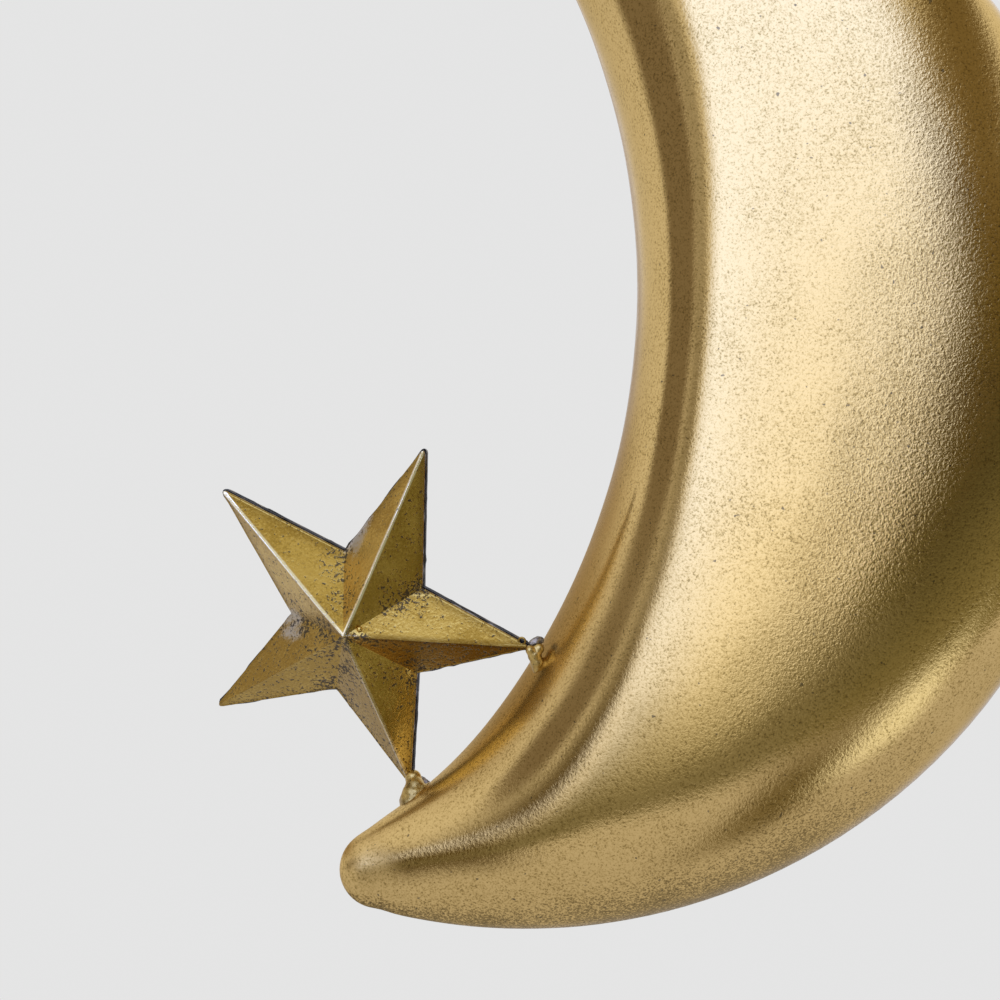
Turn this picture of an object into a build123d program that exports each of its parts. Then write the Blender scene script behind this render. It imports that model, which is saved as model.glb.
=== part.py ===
"""Crescent moon ornament with a five-pointed star, pressed from brass sheet, in millimetres.

The moon stands upright in the XZ plane and its front faces -Y. The convex side is at +X.
It is built about the centre of its convex arc with its own axis level, then turned by the
dip of that axis. Last, everything is moved so that the centre of the hang ring is the origin.
"""
import math
import os

from build123d import *

# Crescent outline: a convex and a concave arc that end in two round horns before they cross
OUTER_RADIUS = 100.0
INNER_RADIUS = 121.5
BELLY_WIDTH = 81.4
HORN_NOSE_RADIUS = 6.9
HORN_CUTBACK = 6.5
HORN_SWELL = 0.0073
SWELL_START = 51.0
AXIS_DIP = 5.9

# Crescent body: full cross-sections at the belly, deep and oval ones at the horns, and a thin wall
BELLY_DEPTH = 57.8
HORN_PLUMPNESS = 0.12
BELLY_FULLNESS = 3.5
HORN_FULLNESS = 1.8
MOON_SHEET = 0.8
MOON_SEAM = 1.2
SECTION_COUNT = 8
SECTION_POINTS = 16

# Star: ten facets on each half, a short upright rim and a seam between the halves
STAR_RADIUS = 32.1
STAR_NOTCH_RATIO = 0.402
STAR_HEIGHT = 10.3
STAR_TIP_ROUNDING = 0.6
STAR_RIM = 0.9
STAR_SEAM = 0.6
STAR_SHEET = 0.8
VENT_RADIUS = 0.6
VENT_REACH = 0.86

# Place of the star: two neighbouring tips stand on the concave arc
STAR_SEAT_ANGLE = -31.8
STAR_TWIST = -3.8
STAR_LEAN = 20.0
STAR_LEAN_AXIS = -49.1

# Joints of the star
FILLET_NECK = 1.3
FILLET_FOOT = 2.6
FILLET_LAP = 3.2
FILLET_SINK = 1.2
NUGGET_RADIUS = 1.3

# Hanger: a wire staple across the seam and a loose ring through it
STAPLE_WIRE = 1.0
STAPLE_ARCH = 2.5
STAPLE_RISE = 4.0
COLLAR_RADIUS = 2.1
RING_WIRE = 1.0
RING_RADIUS = 9.0
RING_SLIT = 0.3
RING_PLAY = 0.3

# Values that follow from the ones above
ARC_SPACING = INNER_RADIUS - OUTER_RADIUS + BELLY_WIDTH
INNER_CENTRE = -ARC_SPACING
PIVOT = -ARC_SPACING / 2
STAR_NOTCH = STAR_RADIUS * STAR_NOTCH_RATIO
HALF_STEP = math.radians(36)
FAR = 4 * OUTER_RADIUS


def horn_centre():
    """Centre of the lower horn's rounding, which touches the convex arc from inside."""
    crossing = (INNER_RADIUS**2 - OUTER_RADIUS**2 - ARC_SPACING**2) / (2 * ARC_SPACING)
    bearing = math.acos(crossing / OUTER_RADIUS) - math.radians(HORN_CUTBACK)
    reach = OUTER_RADIUS - HORN_NOSE_RADIUS
    return reach * math.cos(bearing), -reach * math.sin(bearing)


def horn_run():
    """Distance of the centre of a horn's rounding from the pivot of the cross-sections."""
    across, along = horn_centre()
    return math.hypot(across - PIVOT, along)


def horn_angle():
    """Angle between the moon's axis and the centre of a horn's rounding, at the pivot."""
    across, along = horn_centre()
    return math.atan2(-along, across - PIVOT)


def ray_meets(angle, centre, radius):
    """Far distance at which a ray from the pivot crosses a circle on the moon's axis."""
    shift = PIVOT - centre
    half = shift * math.cos(angle)
    return -half + math.sqrt(half**2 - shift**2 + radius**2)


def chord(angle, inset):
    """Inner and outer end of the cross-section that lies on one ray from the pivot."""
    size = abs(angle)
    if size >= horn_angle():
        nose = HORN_NOSE_RADIUS - inset
        return horn_run() - nose, horn_run() + nose
    swell = HORN_SWELL * max(0.0, math.degrees(size) - SWELL_START) ** 2
    inner = ray_meets(size, INNER_CENTRE, INNER_RADIUS + inset) - swell
    return inner, ray_meets(size, 0, OUTER_RADIUS - inset)


def half_depth(angle, half_width, inset):
    """Half of the depth of a cross-section, which is larger against its width towards the horns."""
    share = abs(angle) / horn_angle()
    ratio = BELLY_DEPTH / BELLY_WIDTH + HORN_PLUMPNESS * math.sin(math.pi * min(share, 1) ** 2)
    return ratio * (half_width + inset) - inset


def fullness(angle):
    """How square a cross-section is: 2 is an oval, and a larger value is fuller."""
    share = min(abs(angle) / horn_angle() / 0.9, 1)
    step = share * share * (3 - 2 * share)
    return BELLY_FULLNESS + (HORN_FULLNESS - BELLY_FULLNESS) * step


def section_plane(angle, distance):
    """Plane of a cross-section, with its middle at a distance from the pivot."""
    middle = (PIVOT + distance * math.cos(angle), 0, distance * math.sin(angle))
    return Plane(origin=middle, x_dir=(0, -1, 0), z_dir=(-math.sin(angle), 0, math.cos(angle)))


def bent(value, power):
    """Power of a number that keeps its sign."""
    return math.copysign(abs(value) ** power, value)


def moon_section(angle, inset):
    """One cross-section of the moon, an oval at the ends of the horns."""
    inner, outer = chord(angle, inset)
    half = (outer - inner) / 2
    depth = half_depth(angle, half, inset)
    plane = section_plane(angle, (inner + outer) / 2)
    if abs(angle) >= horn_angle():
        return plane * Ellipse(depth, half)
    power = 2 / fullness(angle)
    points = []
    for step in range(SECTION_POINTS):
        turn = 2 * math.pi * step / SECTION_POINTS
        points.append((depth * bent(math.cos(turn), power), half * bent(math.sin(turn), power)))
    return plane * make_face(Spline(*points, periodic=True))


def horn_cap(angle, inset):
    """Rounded end of one horn, past the last cross-section."""
    side = math.copysign(1, angle)
    across, along = horn_centre()
    nose = HORN_NOSE_RADIUS - inset
    ball = scale(Sphere(nose), by=(1, half_depth(angle, nose, inset) / nose, 1))
    past = section_plane(angle, OUTER_RADIUS) * Pos(0, 0, side * OUTER_RADIUS) * Box(FAR, FAR, 2 * OUTER_RADIUS)
    return Pos(across, 0, -side * along) * ball & past


def moon_body(inset):
    """Filled moon, drawn in by the inset, with its cross-sections closer together at the horns."""
    last = horn_angle()
    steps = [2 * step / (SECTION_COUNT - 1) - 1 for step in range(SECTION_COUNT)]
    belly = loft([moon_section(last * math.sin(math.pi / 2 * step), inset) for step in steps])
    return belly + horn_cap(-last, inset) + horn_cap(last, inset)


def slab(low, high):
    """Wide block between two planes across Y."""
    return Pos(0, (low + high) / 2, 0) * Box(FAR, high - low, FAR)


def moon_pieces(filled):
    """Front shell, seam bead and back shell of the moon."""
    hollow = filled - moon_body(MOON_SHEET)
    edge = MOON_SEAM / 2
    return hollow & slab(-FAR, -edge), hollow & slab(-edge, edge), hollow & slab(edge, FAR)


def star_outline(scale):
    """Five-pointed outline with slightly blunt tips, one tip along +X."""
    points = []
    for step in range(10):
        radius = scale * (STAR_RADIUS if step % 2 == 0 else STAR_NOTCH)
        points.append((radius * math.cos(step * HALF_STEP), radius * math.sin(step * HALF_STEP)))
    sharp = make_face(Polyline(*points, close=True))
    tips = sharp.vertices().sort_by(SortBy.DISTANCE, reverse=True)[:5]
    return fillet(tips, scale * STAR_TIP_ROUNDING)


def star_cone(scale):
    """Half of the star from the middle of the seam to the apex, facing +Z."""
    rise = STAR_SEAM / 2 + STAR_RIM
    outline = star_outline(scale)
    peak = Vertex(0, 0, rise + scale * STAR_HEIGHT)
    return extrude(outline, rise) + loft([Pos(0, 0, rise) * outline, peak], ruled=True)


def hollow_scale():
    """Size of the hollow against the outside, for a wall of the sheet's thickness."""
    edge = math.sqrt(STAR_RADIUS**2 + STAR_NOTCH**2 - 2 * STAR_RADIUS * STAR_NOTCH * math.cos(HALF_STEP))
    facet_foot = STAR_RADIUS * STAR_NOTCH * math.sin(HALF_STEP) / edge
    slope = math.atan2(STAR_HEIGHT, facet_foot)
    return 1 - STAR_SHEET / math.cos(slope) / STAR_HEIGHT


def star_half():
    """Hollow half of the star, facing +Z, with the middle of the seam at zero."""
    return star_cone(1) - star_cone(hollow_scale())


def above(low, high):
    """Wide block between two heights."""
    return Pos(0, 0, (low + high) / 2) * Box(FAR, FAR, high - low)


def seat_star(shape):
    """Turn a star piece to face -Y, lean it and set its two tips on the concave arc."""
    half_chord = STAR_RADIUS * math.sin(HALF_STEP)
    reach = math.sqrt(INNER_RADIUS**2 - half_chord**2) - STAR_RADIUS * math.cos(HALF_STEP)
    seat = math.radians(STAR_SEAT_ANGLE)
    lean = math.radians(STAR_LEAN_AXIS)
    turn = STAR_SEAT_ANGLE + STAR_TWIST + 36
    upright = Rot(90, 0, 0) * Rot(0, 0, turn) * shape
    leaning = upright.rotate(Axis((0, 0, 0), (math.cos(lean), 0, math.sin(lean))), STAR_LEAN)
    return Pos(INNER_CENTRE + reach * math.cos(seat), 0, reach * math.sin(seat)) * leaning


def star_pieces():
    """Front shell, seam bead and back shell of the star, in their place."""
    half = star_half()
    edge = STAR_SEAM / 2
    front = half & above(edge, FAR)
    top = STAR_HEIGHT * (1 - VENT_REACH)
    vent = Pos(STAR_RADIUS * VENT_REACH, 0, edge + STAR_RIM + top) * Cylinder(VENT_RADIUS, STAR_RIM)
    upper = half & above(-FAR, edge)
    bead = upper + mirror(upper, about=Plane.XY)
    back = mirror(front, about=Plane.XY)
    return seat_star(front - vent), seat_star(bead), seat_star(back)


def star_tip(step):
    """Place of one tip of the star in the middle of its seam, or of its centre without a step."""
    reach = 0 if step is None else STAR_RADIUS
    bearing = 2 * HALF_STEP * (step or 0)
    local = Vertex(reach * math.cos(bearing), reach * math.sin(bearing), 0)
    return seat_star(local).center()


def joint_pieces(moon, star):
    """Flared fillet and small nugget at each of the two tips that stand on the moon."""
    made = []
    for step, aside in ((0, (0, 0, 1)), (-1, (1, 0.6, 0.6))):
        tip = star_tip(step)
        contact = moon.closest_points(Vertex(*tip))[0]
        start = tip + (star_tip(None) - tip).normalized() * FILLET_LAP
        run = contact - start
        length = run.length + FILLET_SINK
        flare = Plane(origin=start + run.normalized() * (length / 2), z_dir=run)
        spot = contact + Vector(*aside).normalized() * FILLET_FOOT
        ball = Plane(origin=spot, x_dir=spot - contact, z_dir=(0, 1, 0)) * Sphere(NUGGET_RADIUS)
        web = flare * Cone(FILLET_NECK, FILLET_FOOT, length) - ball - moon - star
        made.append((web, ball - moon - star))
    return made


def staple(moon, place_x, edge_z):
    """Wire staple that straddles the seam, with its feet on the shells."""
    arch = STAPLE_ARCH + STAPLE_WIRE
    centre_z = edge_z + STAPLE_RISE
    top = CenterArc((0, 0, 0), arch, 0, 180)
    path = Line((arch, -arch * 4), (arch, 0)) + top + Line((-arch, 0), (-arch, -arch * 4))
    plane = Plane(origin=(place_x, 0, centre_z), x_dir=(0, 1, 0), z_dir=(1, 0, 0))
    profile = Plane(origin=(place_x, arch, centre_z - arch * 4), z_dir=(0, 0, 1)) * Circle(STAPLE_WIRE)
    return sweep(profile, path=plane * path) - moon


def collars(moon, wire, place_x):
    """Braze collars at the two feet of the staple."""
    arch = STAPLE_ARCH + STAPLE_WIRE
    rings = []
    for side in (-1, 1):
        probe = Pos(place_x, side * arch, 0) * Cylinder(STAPLE_WIRE, FAR)
        foot = (probe & moon).bounding_box().max.Z
        rings.append(Pos(place_x, side * arch, foot) * Sphere(COLLAR_RADIUS) - moon - wire)
    return rings[0] + rings[1]


def hang_ring(place_x, centre_z):
    """Round wire ring in the XZ plane with a fine slit at its top."""
    hoop = Pos(place_x, 0, centre_z) * Rot(90, 0, 0) * Torus(RING_RADIUS, RING_WIRE)
    slit = Pos(place_x, 0, centre_z + RING_RADIUS) * Box(RING_SLIT, 4 * RING_WIRE, 4 * RING_WIRE)
    return hoop - slit


def main():
    """Build every piece and write one file for each."""
    dip = Rot(0, AXIS_DIP, 0)
    filled_moon = moon_body(0)
    filled_star = star_cone(1) + mirror(star_cone(1), about=Plane.XY)
    moon_front, moon_bead, moon_back = moon_pieces(filled_moon)
    star_front, star_bead, star_back = star_pieces()
    right, lower = joint_pieces(filled_moon, seat_star(filled_star))
    pieces = {
        "crescent_front_shell": moon_front,
        "crescent_back_shell": moon_back,
        "crescent_seam_bead": moon_bead,
        "star_front_shell": star_front,
        "star_back_shell": star_back,
        "star_seam_bead": star_bead,
        "right_braze_fillet": right[0],
        "right_solder_nugget": right[1],
        "lower_braze_fillet": lower[0],
        "lower_solder_nugget": lower[1],
    }
    pieces = {name: dip * shape for name, shape in pieces.items()}
    filled_moon = dip * filled_moon
    weight = sum(shape.volume for shape in pieces.values())
    place_x = sum(shape.volume * shape.center(CenterOf.MASS).X for shape in pieces.values()) / weight
    edge_z = math.sqrt(OUTER_RADIUS**2 - place_x**2)
    wire = staple(filled_moon, place_x, edge_z)
    pivot_z = edge_z + STAPLE_RISE + STAPLE_ARCH - RING_PLAY - RING_WIRE
    pieces["hanger_staple"] = wire
    pieces["hanger_braze"] = collars(filled_moon, wire, place_x)
    pieces["hang_ring"] = hang_ring(place_x, pivot_z + RING_RADIUS)
    home = Pos(-place_x, 0, -pivot_z - RING_RADIUS)
    os.makedirs("parts", exist_ok=True)
    for name, shape in pieces.items():
        export_step(home * shape, f"parts/{name}.step")


main()
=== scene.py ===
"""Looks of the crescent moon and star ornament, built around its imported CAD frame.

The moon and the star are pressed from thin brass sheet in two halves each, brazed along a
seam and darkened by hand. Everything is in metres, in the frame of the CAD model.
"""

import logging
import math
from dataclasses import dataclass, field
from enum import Enum
from typing import Any, Callable, Iterable, Union

import bpy
import numpy as np
from mathutils import Matrix, Vector


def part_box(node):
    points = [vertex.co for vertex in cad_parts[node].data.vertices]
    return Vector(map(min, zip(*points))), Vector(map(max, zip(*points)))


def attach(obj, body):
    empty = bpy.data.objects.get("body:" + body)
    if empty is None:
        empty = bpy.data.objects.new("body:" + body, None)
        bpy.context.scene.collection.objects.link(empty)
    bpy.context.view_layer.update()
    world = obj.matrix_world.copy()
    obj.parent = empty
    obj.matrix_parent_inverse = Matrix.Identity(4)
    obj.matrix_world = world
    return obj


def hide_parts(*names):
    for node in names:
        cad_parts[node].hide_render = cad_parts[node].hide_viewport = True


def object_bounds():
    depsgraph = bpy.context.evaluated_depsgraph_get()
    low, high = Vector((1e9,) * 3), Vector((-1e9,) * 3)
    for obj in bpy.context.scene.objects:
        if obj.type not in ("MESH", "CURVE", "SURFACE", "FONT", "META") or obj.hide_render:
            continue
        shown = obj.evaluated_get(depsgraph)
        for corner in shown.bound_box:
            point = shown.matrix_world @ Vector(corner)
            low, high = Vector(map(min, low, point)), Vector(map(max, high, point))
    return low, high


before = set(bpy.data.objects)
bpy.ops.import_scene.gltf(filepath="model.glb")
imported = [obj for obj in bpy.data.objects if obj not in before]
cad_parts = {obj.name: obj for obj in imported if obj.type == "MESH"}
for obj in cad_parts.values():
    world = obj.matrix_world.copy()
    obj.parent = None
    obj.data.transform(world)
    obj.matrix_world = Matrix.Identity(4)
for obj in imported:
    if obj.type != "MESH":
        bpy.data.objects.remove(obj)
CAD_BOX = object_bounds()

LOG = logging.getLogger("ornament")
MM = 0.001
# Distances below which two heights count as one, and two points are merged
TINY = 0.01 * MM
MERGED = 0.001 * MM

Colour = tuple[float, float, float]
Number = Union[float, "Wire"]


class Body(str, Enum):
    """Rigid bodies of the frame that pieces ride on."""

    RING = "ring"
    ORNAMENT = "ornament"


class Slot(str, Enum):
    """Material slots of the record."""

    ANTIQUE_BRASS = "antique_brass"
    STAR_BRASS = "star_brass"
    DARK_SEAM = "dark_seam"
    BRAZE = "braze"
    SOLDER = "solder"


class Half(Enum):
    """Which half of a two-part pressing a shell is, by the side of Y that it lies on."""

    FRONT = -1
    BACK = 1


# Shader maths


class Wire:
    """A value that flows through a material, with the usual operators."""

    def __init__(self, bench: "NodeBench", socket: bpy.types.NodeSocket) -> None:
        """Wrap one output socket of a node tree."""
        self.bench = bench
        self.socket = socket

    def _math(self, operation: str, first: Number, second: Number) -> "Wire":
        """Add a Math node that joins two values."""
        return self.bench.node("ShaderNodeMath", {"operation": operation}, {0: first, 1: second})

    def __add__(self, other: Number) -> "Wire":
        """Sum of two values."""
        return self._math("ADD", self, other)

    def __radd__(self, other: Number) -> "Wire":
        """Sum with a plain number in front."""
        return self._math("ADD", other, self)

    def __sub__(self, other: Number) -> "Wire":
        """Difference of two values."""
        return self._math("SUBTRACT", self, other)

    def __rsub__(self, other: Number) -> "Wire":
        """Difference from a plain number."""
        return self._math("SUBTRACT", other, self)

    def __mul__(self, other: Number) -> "Wire":
        """Product of two values."""
        return self._math("MULTIPLY", self, other)

    def __rmul__(self, other: Number) -> "Wire":
        """Product with a plain number in front."""
        return self._math("MULTIPLY", other, self)

    def __truediv__(self, other: Number) -> "Wire":
        """Quotient of two values."""
        return self._math("DIVIDE", self, other)

    def __rtruediv__(self, other: Number) -> "Wire":
        """Quotient with a plain number in front."""
        return self._math("DIVIDE", other, self)

    def highest(self, other: Number) -> "Wire":
        """Larger of two values."""
        return self._math("MAXIMUM", self, other)

    def power(self, other: Number) -> "Wire":
        """Value raised to a power."""
        return self._math("POWER", self, other)

    def size(self) -> "Wire":
        """Value without its sign."""
        return self._math("ABSOLUTE", self, 0.0)

    def ramp(self, low: float, high: float) -> "Wire":
        """Smooth step from 0 at low to 1 at high; low may be the larger of the two.

        Args:
            low: Value at which the step is 0.
            high: Value at which the step is 1.

        Returns:
            The stepped value.
        """
        if low > high:
            return 1 - self.ramp(high, low)
        settings = {"interpolation_type": "SMOOTHSTEP"}
        return self.bench.node("ShaderNodeMapRange", settings, {"Value": self, 1: low, 2: high})


class NodeBench:
    """Node tree of a material or of the world, with one method that adds any node."""

    # Inputs and output of a Mix node that hold its share and its colours
    SHARE, FIRST, SECOND, MIXED = 0, 6, 7, 2

    def __init__(self, owner: bpy.types.ID, shader: str) -> None:
        """Open the node tree of an owner and find its shader node.

        Args:
            owner: Material or world.
            shader: Type of its shader node.
        """
        owner.use_nodes = True
        self.owner = owner
        self.tree = owner.node_tree
        self.shader = next(n for n in self.tree.nodes if n.type == shader)

    @classmethod
    def for_material(cls, name: str) -> "NodeBench":
        """Start a material with a Principled shader."""
        return cls(bpy.data.materials.new(name), "BSDF_PRINCIPLED")

    @classmethod
    def for_world(cls, name: str) -> "NodeBench":
        """Start a world and use it in the scene."""
        bpy.context.scene.world = bpy.data.worlds.new(name)
        return cls(bpy.context.scene.world, "BACKGROUND")

    def node(
        self,
        kind: str,
        settings: dict[str, Any] | None = None,
        sockets: dict[Union[str, int], Any] | None = None,
        output: Union[str, int] = 0,
    ) -> Wire:
        """Add a node.

        Args:
            kind: Type name of the node.
            settings: Properties that are set first, such as a Math node's operation.
            sockets: Values or wires for its inputs, by name or index.
            output: Name or index of the output that is handed on.

        Returns:
            The chosen output.
        """
        made = self.tree.nodes.new(kind)
        for key, value in (settings or {}).items():
            setattr(made, key, value)
        for key, value in (sockets or {}).items():
            self.feed(made.inputs[key], value)
        return Wire(self, made.outputs[output])

    def feed(self, socket: bpy.types.NodeSocket, value: Any) -> None:
        """Link a wire to a socket, or set the socket's own value.

        Args:
            socket: Input that is fed.
            value: Wire, number, colour or vector.
        """
        if isinstance(value, Wire):
            self.tree.links.new(value.socket, socket)
        elif isinstance(value, tuple) and socket.type == "RGBA":
            socket.default_value = (*value, 1.0)
        else:
            socket.default_value = value

    def place(self) -> Wire:
        """Object coordinates of the shaded point."""
        return self.node("ShaderNodeTexCoord", output="Object")

    def noise(self, size: float, detail: float, rough: float = 0.5) -> Wire:
        """Cloudy value from 0 to 1.

        Args:
            size: Width of one cloud, in metres.
            detail: Number of finer layers.
            rough: Strength of the finer layers.

        Returns:
            The noise value.
        """
        sockets = {"Vector": self.place(), "Scale": 1 / size, "Detail": detail, "Roughness": rough}
        return self.node("ShaderNodeTexNoise", {}, sockets)

    def attribute(self, name: str) -> Wire:
        """Value that a mesh holds at its points."""
        return self.node("ShaderNodeAttribute", {"attribute_name": name}, {}, "Fac")

    def blend(self, share: Number, first: Any, second: Any) -> Wire:
        """Mix two colours.

        Args:
            share: Part that the second colour takes.
            first: Colour or wire.
            second: Colour or wire.

        Returns:
            The mixed colour.
        """
        sockets = {self.SHARE: share, self.FIRST: first, self.SECOND: second}
        return self.node("ShaderNodeMix", {"data_type": "RGBA"}, sockets, self.MIXED)

    def bump(self, height: Wire, depth: float) -> Wire:
        """Bump whose height of 1 stands for a depth in metres."""
        return self.node("ShaderNodeBump", {}, {"Height": height, "Distance": depth, "Strength": 1.0})

    def surface(self, **sockets: Any) -> Any:
        """Feed the shader and hand over its owner.

        Args:
            sockets: Inputs of the shader, with spaces written as underscores.

        Returns:
            The finished material or world.
        """
        for name, value in sockets.items():
            self.feed(self.shader.inputs[name.replace("_", " ")], value)
        return self.owner


# Finishes


@dataclass(frozen=True)
class MoonBrass:
    """Grained antique brass of the moon, with tarnish in its pits, and tarnish and black specks that grow
    denser towards the bottom of its outer edge.
    """

    gold: Colour = (0.67, 0.45, 0.158)
    umber: Colour = (0.43, 0.272, 0.075)
    brown: Colour = (0.22, 0.135, 0.036)
    dust: Colour = (0.51, 0.375, 0.17)
    soot: Colour = (0.06, 0.05, 0.035)
    edge: Colour = (0.93, 0.83, 0.64)
    roughness: float = 0.06
    grain_size: float = 0.62 * MM
    grain_depth: float = 0.04 * MM
    fine_size: float = 0.34 * MM
    patch_size: float = 12 * MM
    pit_size: float = 1.0 * MM
    dust_size: float = 4 * MM
    tarnish_share: float = 0.68
    dust_share: float = 0.5
    speck_share: float = 0.7
    low_black_share: float = 0.4
    pit_share: float = 0.7

    def material(self) -> bpy.types.Material:
        """Build the material.

        Returns:
            The material, which reads the point attributes side, rim, low and soft.
        """
        bench = NodeBench.for_material("moon_brass")
        side, rim, low, soft = (bench.attribute(name) for name in ("side", "rim", "low", "soft"))
        grain = bench.noise(self.grain_size, 3.0, 0.6)
        fine = bench.noise(self.fine_size, 2.0, 0.6)
        patch = bench.noise(self.patch_size, 3.0)
        # Tarnish, specks, pits and black specks grow denser towards the bottom of the outer edge
        crowd = 0.16 * (patch - 0.5) + 0.09 * low
        tarnish = (0.4 * grain + 0.6 * fine - crowd).ramp(0.56, 0.38)
        specks = (0.3 * grain + 0.7 * fine - crowd).ramp(0.43, 0.34)
        pits = (bench.noise(self.pit_size, 1.5) - 0.4 * crowd).ramp(0.27, 0.23)
        black = (0.4 * grain + 0.6 * fine - 0.09 * low - crowd).ramp(0.43, 0.34) * low
        dusty = rim.ramp(0.90, 1.0) * (0.3 + 0.7 * bench.noise(self.dust_size, 3.0))
        darkening = (black * self.low_black_share).highest(pits * self.pit_share)
        colour = bench.blend(tarnish * self.tarnish_share, self.gold, self.umber)
        colour = bench.blend(dusty * self.dust_share, colour, self.dust)
        colour = bench.blend(specks * self.speck_share, colour, self.brown)
        colour = bench.blend(darkening, colour, self.soot)
        rough = self.roughness + 0.05 * tarnish + 0.18 * dusty + 0.2 * black + soft
        relief = 0.33 + 0.55 * side.ramp(-0.35, 0.4)
        normal = bench.bump((grain + 0.5 * fine) * relief, self.grain_depth)
        return bench.surface(
            Base_Color=colour, Metallic=1.0, Roughness=rough, Specular_Tint=self.edge, Normal=normal
        )


@dataclass(frozen=True)
class StarBrass:
    """Antique brass of the star, with a painted highlight along two ridges, painted shade along another
    ridge and on each facet, worn in two notches and with soot specks crowding its valleys.
    """

    gold: Colour = (0.63, 0.415, 0.095)
    umber: Colour = (0.38, 0.225, 0.035)
    brown: Colour = (0.17, 0.09, 0.012)
    # Colour of the painted highlight along the ridges
    painted_highlight_colour: Colour = (1.0, 0.90, 0.66)
    worn: Colour = (0.52, 0.46, 0.36)
    soot: Colour = (0.045, 0.038, 0.03)
    roughness: float = 0.15
    cloud_size: float = 7 * MM
    crowd_size: float = 5 * MM
    grain_size: float = 0.8 * MM
    grain_depth: float = 0.045 * MM
    fine_size: float = 0.42 * MM
    tarnish_share: float = 0.75
    rubbed_share: float = 0.7
    worn_share: float = 0.8
    speck_share: float = 0.85

    def material(self) -> bpy.types.Material:
        """Build the material.

        Returns:
            The material, which reads the point attributes ridge, valley, edge and skirt in
            millimetres, and worn, the painted highlight or painted shade of each ridge, and the painted
            shade of each facet as shares.
        """
        bench = NodeBench.for_material("star_brass")
        distances = ("ridge", "valley", "edge", "skirt")
        ridge, valley, edge, skirt = (bench.attribute(name) for name in distances)
        worn, painted_light, darkening = (bench.attribute(name) for name in ("worn", "painted_light", "darkening"))
        cloud = bench.noise(self.cloud_size, 3.0)
        grain = bench.noise(self.grain_size, 2.5, 0.6)
        fine = bench.noise(self.fine_size, 2.5, 0.65)
        rubbed = edge.ramp(2.0, 0.0) * (0.3 + 0.9 * cloud)
        crowd = valley.ramp(6.0, 0.0) * bench.noise(self.crowd_size, 2.0).ramp(0.38, 0.6)
        # Painted shade set facet by facet deepens the tarnish, specks and crust below
        tarnish = (0.5 * cloud + 0.5 * fine - 0.14 * (darkening - 0.4)).ramp(0.57, 0.42)
        specks = 0.3 * grain + 0.7 * fine - 0.10 * crowd - 0.04 * rubbed - 0.07 * darkening
        crust = (0.65 * grain + 0.35 * fine - 0.09 * crowd - 0.07 * darkening).ramp(0.38, 0.32)
        specks = specks.ramp(0.37, 0.30).highest(crust)
        greyed = (worn * (0.3 + 1.4 * fine)).ramp(0.4, 0.85)
        # Painted highlight: a light line along the ridges marked above 0; painted shade: a brown line along
        # the ridge marked below 0
        painted_highlight = ridge.ramp(0.42, 0.2) * painted_light.highest(0.0)
        painted_ridge_shade = ridge.ramp(1.0, 0.1) * (0 - painted_light).highest(0.0) * 0.75
        # Painted shade: brown mottles, stronger on the facets that are set darker
        painted_facet_shade = darkening.ramp(0.3, 1.0) * (0.2 + 0.5 * cloud)
        colour = bench.blend(tarnish * self.tarnish_share, self.gold, self.umber)
        colour = bench.blend((rubbed * self.rubbed_share).highest(painted_facet_shade), colour, self.brown)
        colour = bench.blend(greyed * self.worn_share, colour, self.worn)
        colour = bench.blend(painted_highlight, colour, self.painted_highlight_colour)
        colour = bench.blend(painted_ridge_shade, colour, self.brown)
        colour = bench.blend(specks * self.speck_share, colour, self.soot)
        colour = bench.blend(skirt.ramp(0.10, 0.55) * (0.45 + 0.6 * grain), colour, self.soot)
        rough = self.roughness + 0.10 * cloud + 0.25 * specks + 0.3 * greyed - 0.1 * painted_highlight
        normal = bench.bump(grain + 0.4 * fine - 0.5 * specks, self.grain_depth)
        return bench.surface(Base_Color=colour, Metallic=1.0, Roughness=rough, Normal=normal)


@dataclass(frozen=True)
class FlowedBraze:
    """Braze metal that flowed and set, smoother than the sheet."""

    gold: Colour = (0.56, 0.375, 0.11)
    umber: Colour = (0.28, 0.18, 0.05)
    soot: Colour = (0.04, 0.035, 0.03)
    cloud_size: float = 2.2 * MM
    speck_size: float = 0.5 * MM
    grain_size: float = 0.8 * MM
    grain_depth: float = 0.05 * MM

    def material(self) -> bpy.types.Material:
        """Build the material.

        Returns:
            The material, which reads Object coordinates alone.
        """
        bench = NodeBench.for_material("flowed_braze")
        cloud = bench.noise(self.cloud_size, 3.0)
        specks = bench.noise(self.speck_size, 1.0).ramp(0.66, 0.74)
        colour = bench.blend(cloud.ramp(0.4, 0.75), self.gold, self.umber)
        colour = bench.blend(specks * 0.7, colour, self.soot)
        rough = 0.3 + 0.15 * cloud
        normal = bench.bump(bench.noise(self.grain_size, 2.0), self.grain_depth)
        return bench.surface(Base_Color=colour, Metallic=1.0, Roughness=rough, Normal=normal)


@dataclass(frozen=True)
class GreySolder:
    """Dull grey solder with pits."""

    pale: Colour = (0.34, 0.29, 0.22)
    dark: Colour = (0.07, 0.055, 0.04)
    pit_size: float = 0.9 * MM
    pit_depth: float = 0.25 * MM

    def material(self) -> bpy.types.Material:
        """Build the material.

        Returns:
            The material, which reads Object coordinates alone.
        """
        bench = NodeBench.for_material("grey_solder")
        cloud = bench.noise(self.pit_size, 3.0, 0.6)
        colour = bench.blend(cloud.ramp(0.35, 0.65), self.pale, self.dark)
        rough = 0.35 + 0.3 * cloud
        normal = bench.bump(cloud, self.pit_depth)
        return bench.surface(Base_Color=colour, Metallic=0.7, Roughness=rough, Normal=normal)


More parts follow.
